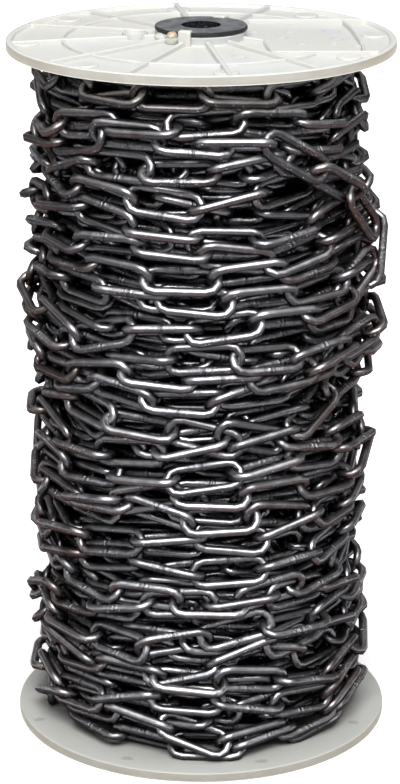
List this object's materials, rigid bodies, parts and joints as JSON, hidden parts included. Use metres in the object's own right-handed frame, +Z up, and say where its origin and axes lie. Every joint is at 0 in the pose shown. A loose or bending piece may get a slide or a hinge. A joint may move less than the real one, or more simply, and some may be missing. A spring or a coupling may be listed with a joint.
{
  "type": "reel of steel chain",
  "caption": "Upright moulded plastic reel with a spindle bore, wound full with bare long-link steel chain, a strand lying loose across the outer turns.",
  "frame": {"origin": "centre of the bottom rim's standing face", "axes": "+Z up along the reel's axis; -Y towards the side shown in the picture; +X towards the smooth panel of the top flange"},
  "size_m": [0.19, 0.19, 0.36],
  "materials": {
    "chain_steel": "bare drawn and welded wire, lightly oiled, dark grey with brown tint",
    "flange_plastic": "off-white moulded, slightly translucent, satin",
    "bush_plastic": "black, satin, slightly rough edge",
    "tube_plastic": "plain"
  },
  "bodies": {
    "root": {"top_flange": "flange_plastic", "bottom_flange": "flange_plastic", "core_tube": "tube_plastic", "top_bush": "bush_plastic", "bottom_bush": "bush_plastic", "chain_inner_layers": "chain_steel", "chain_outer_layer": "chain_steel", "loose_link_1": "chain_steel", "loose_link_2": "chain_steel", "loose_link_3": "chain_steel", "loose_link_4": "chain_steel", "loose_link_5": "chain_steel"}
  },
  "joints": []
}
